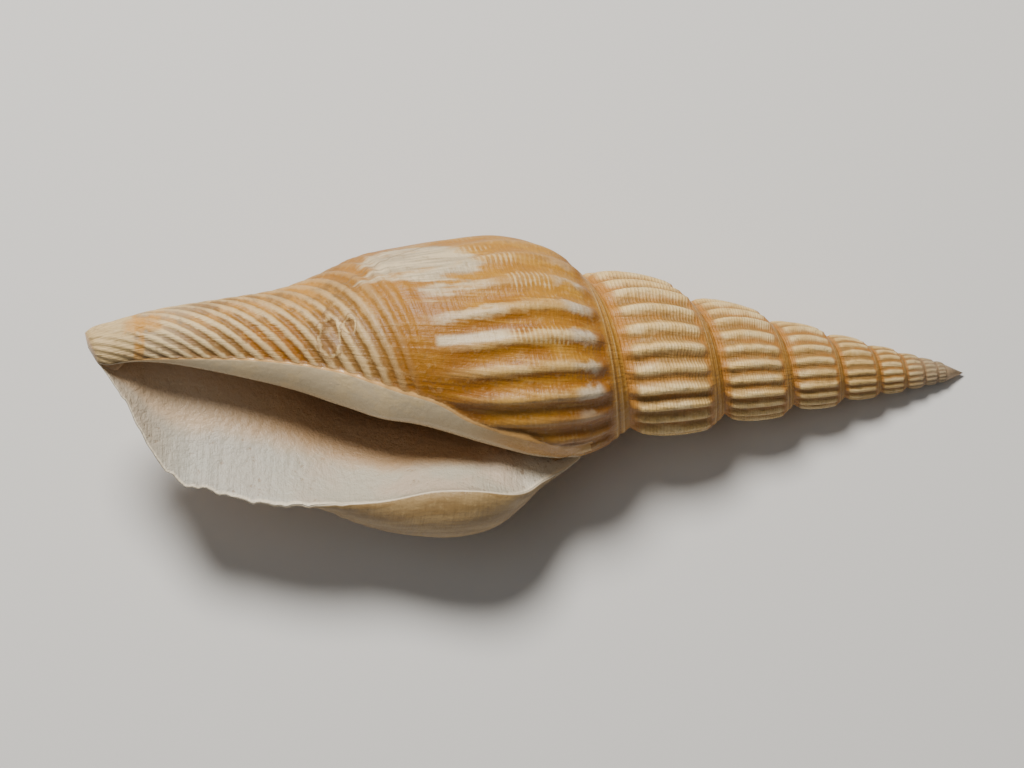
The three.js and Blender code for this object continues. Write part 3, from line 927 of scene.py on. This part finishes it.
# Paints: a ground, then the layers that lie on it, each a colour or another paint, its strength and
# its places, which are given as in the sums
BODY_VALLEY = (
    ORANGE,
    (DEEP_ORANGE, 1.0, ("blotches", 0.4, 0.62)),
    (PALE_ORANGE, 0.5, ("growth_lines", 0.5, 0.68)),
    (DEEP_ORANGE, 0.5, ("streaks", 0.5, 0.36)),
    # Painted light and shade: paler orange on the upper face of the last whorl and deeper orange on its
    # lower side.
    (PALE_ORANGE, 0.35, ("turn", -0.72, -0.62)),
    (DEEP_ORANGE, 0.4, ("turn", -0.78, -0.9)),
    (DEEP_ORANGE, 0.5, ("share", 1.12, 1.3, 1.55, 1.75)),
)
SPIRE_VALLEY = (SPIRE_TAN, (SPIRE_GOLD, 0.6, ("patches", 0.44, 0.58)))
BODY_CREST = (CREST_CREAM, (CREST_WHITE, 1.0, ("patches", 0.48, 0.68)))
SPIRE_CREST = (SPIRE_CREAM, (SPIRE_WHITE, 1.0, ("patches", 0.42, 0.62)))
CREST = (BODY_CREST, (SPIRE_CREST, 1.0, "on_spire"))
CORD_CREST = (CORD_CREAM, (CORD_WHITE, 1.0, ("distance", 60.0, 72.0)))
BARE_PATCH = (
    BARE_GREY,
    (BARE_LIGHT, 1.0, ("growth_lines", 0.42, 0.62)),
    (BARE_LINE, 0.65, ("bare_lines", 0.4, 0.33)),
)
LIP_FACE = (LIP_KHAKI, (LIP_SHADE, 1.0, ("growth_lines", 0.4, 0.6)))
TIP = (TIP_WHITE, (TIP_LINE, 0.4, ("tip_lines", -0.2, -0.9)))
SCAR = (
    SCAR_LINE,
    (SCAR_BROWN, 1.0, ("specks", 0.42, 0.56)),
    (CORD_CREAM, 0.55, ("patches", 0.54, 0.64)),
)
RIB_LAYERS = (
    (DEEP_ORANGE, 0.6, ("share", 0.11, 0.15, 0.2, 0.28), "on_body"),
    (CREST, 1.0, "rib_light", "rib_window"),
    (SPIRE_GOLD, 0.85, ("rib_end_edge", 0.15, 0.9), "on_spire"),
)
# White where the ribs are worn, bluish flecks near the suture, and light lines that cross the crests
WORN_LAYERS = (
    (
        BARE_LIGHT, 0.5, ("worn_crest", 0.5, 0.9), ("share", 0.82, 0.95, 1.22, 1.34),
        ("turn", -0.74, -0.72, -0.62, -0.58),
    ),
    (BARE_LIGHT, 0.8, ("white_rib_edge", 0.011, 0.004), ("wavy_share", 0.8, 0.93, 1.26, 1.31)),
    (
        BLUISH_WHITE, 0.62, ("fleck_crest", 0.35, 0.95), ("share", 0.2, 0.3, 0.38, 0.5),
        ("turn", -0.88, -0.8, -0.63, -0.57),
    ),
    (LATTICE_CREAM, 0.85, "striae", "lattice_spots", ("lattice_crest", 0.1, 0.5)),
)
CORD_LAYERS = (
    (CORD_TAN, 0.85, "cord_cover", ("cord_valley", 0.66, 0.46)),
    (CORD_GREY, 0.75, "cord_cover", ("distance", 68.0, 73.0)),
    (TIP_ORANGE, 0.5, "cord_cover", ("turn", -0.72, -0.66), ("patches", 0.44, 0.56)),
    (CORD_CREST, 1.0, "cord_cover", "cord_brightness", ("cord_edge", 0.25, 0.85)),
)
BARE_LAYERS = (
    (BARE_PATCH, 0.88, ("bare_edge", 1.5, 0.5)),
    (CRACK_BROWN, 0.6, ("crack", 0.0022, 0.0008), ("share", 1.1, 1.14, 1.6, 1.66)),
)
BAND_LAYERS = (
    (BAND_ORANGE, 0.8, ("share", 0.17, 0.11)),
    (CREST_WHITE, 0.4, "ridges", ("patches", 0.35, 0.6)),
    (GROOVE_BROWN, 0.65, ("groove", 0.013, 0.003)),
)
END_LAYERS = (
    (TIP, 1.0, ("wavy_distance", 75.1, 75.6)),
    (TIP_ORANGE, 0.75, ("wavy_distance", 74.3, 74.6, 75.2, 75.6), ("patches", 0.35, 0.5)),
    (
        TIP_ORANGE, 0.7, ("wavy_distance", 72.8, 73.6, 75.8, 76.8), ("turn", -0.72, -0.69, -0.6, -0.55),
        ("patches", 0.45, 0.55),
    ),
    (APEX_GREY, 0.5, ("distance", 7.0, 3.0)),
)
SCAR_LAYERS = (
    (SCAR_LINE, 0.6, ("scar_edge", 1.08, 1.16, 1.2, 1.36)),
    (CORD_WHITE, 0.6, ("scar_edge", 0.76, 0.92, 1.04, 1.14), ("patches", 0.44, 0.6)),
    (SCAR, 0.85, ("scar_edge", 0.88, 0.74)),
)
GRAIN_LAYERS = (
    (GRAIN_BROWN, 0.35, ("specks", 0.46, 0.32)),
    (CREST_WHITE, 0.15, ("specks", 0.54, 0.7)),
)
OUTSIDE = (
    BODY_VALLEY,
    (SPIRE_VALLEY, 1.0, "on_spire"),
    *RIB_LAYERS,
    *WORN_LAYERS,
    *CORD_LAYERS,
    *BARE_LAYERS,
    (LIP_FACE, 0.85, ("turn", -0.17, -0.08)),
    *BAND_LAYERS,
    *END_LAYERS,
    *SCAR_LAYERS,
    (CALLUS_SHADOW, 0.55, ("callus", -3.2, -0.8)),
    *GRAIN_LAYERS,
)
# Deep in the hollow: brown that is partly the shell's own colour and partly painted shade, a lighter brown
# towards the canal.
HOLLOW_BROWN_AND_SHADE = (MOUTH_BROWN_AND_SHADE, (CANAL_BROWN, 1.0, ("distance", 60.0, 72.0)))
MOUTH = (
    MOUTH_WHITE,
    (MOUTH_PINK, 1.0, ("blotches", 0.4, 0.6)),
    (MOUTH_COOL, 0.8, ("distance", 54.0, 66.0)),
    # Painted light on the back end of the wall.
    (MOUTH_BACK_PAINTED_LIGHT, 0.7, ("distance", 43.0, 39.0)),
    (CANAL_BROWN, 0.5, ("along", 0.78, 0.92)),
    (PIT_BROWN, 0.6, ("specks", 0.39, 0.33), ("blotches", 0.4, 0.5)),
    # Painted shade together with the hollow's own brown, deeper in.
    (HOLLOW_BROWN_AND_SHADE, 1.0, ("hollow_depth", 0.7, 1.25)),
    (RIM_CREAM, 1.0, ("depth", 0.05, 0.0)),
)
CALLUS = (
    CALLUS_WHITE,
    (CALLUS_TAN, 1.0, ("distance", 48.0, 40.0)),
    (CALLUS_RIM, 0.4, ("distance", 69.0, 74.0)),
    (CREST_WHITE, 0.35, ("patches", 0.5, 0.62)),
    (CALLUS_RIM, 0.9, ("callus_rim", 2.6, 1.4)),
    (CALLUS_FOLD, 0.8, ("fold", 0.09, 0.03)),
    # Past the fold the pillar takes the hollow's brown, partly its own colour and partly painted shade under
    # the callus.
    (MOUTH_BROWN_AND_SHADE, 1.0, ("fold_depth", 0.25, 0.6)),
)
WALL_PLACE = ("inside", 0.4, 0.6)
CALLUS_PLACE = ("callus_edge", -0.5, 0.5)
SHELL_PAINT = (
    OUTSIDE,
    (RIM_CREAM, 1.0, ("inside", 0.0, 0.35)),
    (MOUTH, 1.0, ("inside", 0.75, 0.98)),
    (CALLUS, 1.0, CALLUS_PLACE),
)

# Sums for the outside, the wall of the hollow and the callus. BUMP_METRES is what a height of 1 is.
BUMP_METRES = 0.00012
ZONE_HEIGHTS = (
    (
        (0.8, "growth_lines"), (0.4, "spiral_lines"), (0.6, "specks"), (0.07, "striae"),
        (0.2, "striae", "on_spire"),
    ),
    ((0.8, "lip_lines", ("depth", 1.1, 0.4)), (1.8, "specks"), (1.0, "patches")),
    ((0.7, "patches"), (0.5, "specks")),
)
ZONE_ROUGHNESS = (
    ((0.3,), (0.35, "specks")),
    ((0.42,),),
    ((0.08,), (0.4, "specks")),
)


# The sockets of a mix node that is set to colours
MIX_SHARE, MIX_FIRST, MIX_SECOND = 0, 6, 7
MIX_RESULT = 2


class Looks:
    """A material being put together. A value may be a number, a colour or another node's output."""

    def __init__(self, name):
        self.material = bpy.data.materials.new(name)
        self.material.use_nodes = True
        self.tree = self.material.node_tree
        self.shader = self.tree.nodes["Principled BSDF"]

    def put(self, socket, value):
        if isinstance(value, bpy.types.NodeSocket):
            self.tree.links.new(value, socket)
        elif isinstance(value, tuple) and len(value) == 3 and socket.type == "RGBA":
            socket.default_value = (*value, 1)
        else:
            socket.default_value = value

    def fill(self, node, values):
        """Puts values into a node's inputs, given by name or number, and returns its outputs."""
        for key, value in values.items():
            self.put(node.inputs[key], value)
        return node.outputs

    def math(self, operation, *values):
        node = self.tree.nodes.new("ShaderNodeMath")
        node.operation = operation
        return self.fill(node, dict(enumerate(values)))[0]

    def total(self, *values):
        return reduce(partial(self.math, "ADD"), values)

    def product(self, *values):
        return reduce(partial(self.math, "MULTIPLY"), values)

    def scaled(self, value, factor, offset=0.0):
        return self.math("MULTIPLY_ADD", value, factor, offset)

    def blended(self, share, first, second):
        rest = self.scaled(share, -1.0, 1.0)
        return self.total(self.product(first, rest), self.product(second, share))

    def uneven(self, value, *noises):
        """A value moved up and down by noises, each given with how far it moves the value in all."""
        for noise, reach in noises:
            value = self.total(value, self.scaled(noise, reach, -reach / 2))
        return value

    def rise(self, value, low, high):
        """0 below low and 1 above high, with a smooth step between. It falls where low is above high."""
        node = self.tree.nodes.new("ShaderNodeMapRange")
        node.interpolation_type = "SMOOTHSTEP"
        step = {"From Min": min(low, high), "From Max": max(low, high)}
        ends = {"To Min": float(low > high), "To Max": float(low <= high)}
        return self.fill(node, {"Value": value, **step, **ends})["Result"]

    def between(self, value, start, full, end, gone):
        return self.product(self.rise(value, start, full), self.rise(value, gone, end))

    def mix(self, share, first, second):
        node = self.tree.nodes.new("ShaderNodeMix")
        node.data_type = "RGBA"
        values = {MIX_SHARE: share, MIX_FIRST: first, MIX_SECOND: second}
        return self.fill(node, values)[MIX_RESULT]

    def vector(self, *parts):
        node = self.tree.nodes.new("ShaderNodeCombineXYZ")
        return self.fill(node, dict(enumerate(parts)))[0]

    def noise(self, vector, scale, detail, roughness):
        node = self.tree.nodes.new("ShaderNodeTexNoise")
        values = {"Vector": vector, "Scale": scale, "Detail": detail, "Roughness": roughness}
        return self.fill(node, values)["Fac"]

    def place(self):
        return self.tree.nodes.new("ShaderNodeTexCoord").outputs["Object"]

    def stored(self, name):
        """The three stored values of one of the shell's attributes."""
        attribute = self.tree.nodes.new("ShaderNodeAttribute")
        attribute.attribute_type = "GEOMETRY"
        attribute.attribute_name = name
        split = self.tree.nodes.new("ShaderNodeSeparateXYZ")
        return self.fill(split, {0: attribute.outputs["Vector"]})

    def bump(self, height, distance):
        node = self.tree.nodes.new("ShaderNodeBump")
        return self.fill(node, {"Height": height, "Distance": distance})["Normal"]


class ShellLooks(Looks):
    """The shell's one material, put together from the tables above."""

    def __init__(self):
        super().__init__("shell_surface")
        self.values = {}
        for attribute, names in STORED_VALUES.items():
            self.values.update(zip(names, self.stored(attribute)))
        spot = self.place()
        for name, settings in PLAIN_NOISES.items():
            self.values[name] = self.noise(spot, *settings)

    def value(self, name):
        """A value that the tables name. It is put together when it is first asked for."""
        if name not in self.values:
            self.values[name] = self.made(name)
        return self.values[name]

    def made(self, name):
        if name in DRAWN_NOISES:
            return self.drawn_noise(*DRAWN_NOISES[name])
        if name in WAVES:
            base, count = WAVES[name]
            return self.math("SINE", self.scaled(self.value(base), 2 * math.pi * count))
        if name in DISTANCES:
            base, place = DISTANCES[name]
            return self.math("ABSOLUTE", self.scaled(self.value(base), 1.0, -place))
        if name in SUMS:
            return self.summed(SUMS[name])
        base, *noises = UNEVEN_VALUES[name]
        return self.uneven(self.value(base), *[(self.value(noise), reach) for noise, reach in noises])

    def drawn_noise(self, first, second, start, detail):
        across, along = (self.scaled(self.value(name), cells) for name, cells in (first, second))
        return self.noise(self.vector(across, along, start), 1.0, detail, DRAWN_ROUGHNESS)

    def level(self, place):
        """A place's value, from 0 where it doesn't lie to 1 where it does. The tables tell its forms."""
        if isinstance(place, str):
            return self.value(place)
        name, *levels = place
        step = self.rise if len(levels) == 2 else self.between
        return step(self.value(name), *levels)

    def part(self, strength, *places):
        return self.product(strength, *[self.level(place) for place in places])

    def summed(self, parts):
        return self.total(*[self.part(*part) for part in parts])

    def painted(self, paint):
        """The colour of a paint. A plain colour is its own paint."""
        ground, *layers = paint
        if isinstance(ground, float):
            return paint
        color = self.painted(ground)
        for tint, strength, *places in layers:
            color = self.mix(self.part(strength, *places), color, self.painted(tint))
        return color

    def zoned(self, outside, wall, callus):
        """The sums of the three zones of the shell, joined where the zones meet."""
        worn = self.blended(self.level(WALL_PLACE), self.summed(outside), self.summed(wall))
        return self.blended(self.level(CALLUS_PLACE), worn, self.summed(callus))

    def finished(self):
        self.fill(self.shader, {
            "Base Color": self.painted(SHELL_PAINT),
            "Roughness": self.zoned(*ZONE_ROUGHNESS),
            "Normal": self.bump(self.zoned(*ZONE_HEIGHTS), BUMP_METRES),
        })
        return self.material


# Camera of the photo, in the shell's frame before it is laid down
CAMERA_TILT = 12
CAMERA_SLOPE = 2.5
CAMERA_PLACE = (-40.87, -0.99, 359.7)
CAMERA_LENS = 140.625
CAMERA_NEAREST = 0.01
SENSOR_WIDTH = 36

# Studio
FLOOR_SIZE = 3.0
FLOOR_COLOR = (0.74, 0.73, 0.71)
FLOOR_ROUGHNESS = 0.7
WORLD_COLOR = (1.0, 0.98, 0.95)
WORLD_STRENGTH = 0.1
KEY_POWER = 2.3
KEY_SIZE = 0.13
KEY_PLACE = (-0.08, 0.19, 0.345)
KEY_COLOR = (1.0, 0.97, 0.92)
FILL_POWER = 0.13
FILL_SIZE = 0.25
FILL_PLACE = (-0.15, -0.03, 0.4)
FILL_COLOR = (0.93, 0.96, 1.0)


def photo_axes():
    """The camera's right, up and backward directions in the shell's frame, as rows."""
    tilt, slope = math.radians(CAMERA_TILT), math.radians(CAMERA_SLOPE)
    return Matrix.Rotation(-slope, 3, "Z") @ Matrix.Rotation(tilt, 3, "Y")


def add_camera(shift):
    axes = photo_axes()
    turned = rest_rotation() @ axes.transposed()
    place = turned @ Vector(CAMERA_PLACE) + Vector(shift)
    data = bpy.data.cameras.new("camera")
    data.lens = CAMERA_LENS
    data.sensor_width = SENSOR_WIDTH
    data.clip_start = CAMERA_NEAREST
    camera = add_object("camera", data)
    camera.matrix_world = Matrix.Translation(place / MM_PER_METRE) @ turned.to_4x4()
    bpy.context.scene.camera = camera


def add_area_light(name, place, size, power, color):
    data = bpy.data.lights.new(name, "AREA")
    data.shape = "DISK"
    data.size = size
    data.energy = power
    data.color = color
    light = add_object(name, data)
    light.location = place
    light.rotation_euler = (-Vector(place)).to_track_quat("-Z", "Y").to_euler()


def add_world():
    world = bpy.data.worlds.new("studio")
    world.use_nodes = True
    background = world.node_tree.nodes["Background"]
    background.inputs["Color"].default_value = (*WORLD_COLOR, 1)
    background.inputs["Strength"].default_value = WORLD_STRENGTH
    bpy.context.scene.world = world


def add_floor():
    half = FLOOR_SIZE / 2
    mesh = bpy.data.meshes.new("floor")
    corners = [(-half, -half, 0), (half, -half, 0), (half, half, 0), (-half, half, 0)]
    mesh.from_pydata(corners, [], [(0, 1, 2, 3)])
    looks = Looks("pale_floor")
    looks.fill(looks.shader, {"Base Color": FLOOR_COLOR, "Roughness": FLOOR_ROUGHNESS})
    mesh.materials.append(looks.material)
    add_object("floor", mesh)


shell, shift_mm = build_shell()
shell.data.materials.append(ShellLooks().finished())
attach(shell, "root")
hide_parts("shell")
add_floor()
add_world()
add_area_light("key", KEY_PLACE, KEY_SIZE, KEY_POWER, KEY_COLOR)
add_area_light("fill", FILL_PLACE, FILL_SIZE, FILL_POWER, FILL_COLOR)
add_camera(shift_mm)
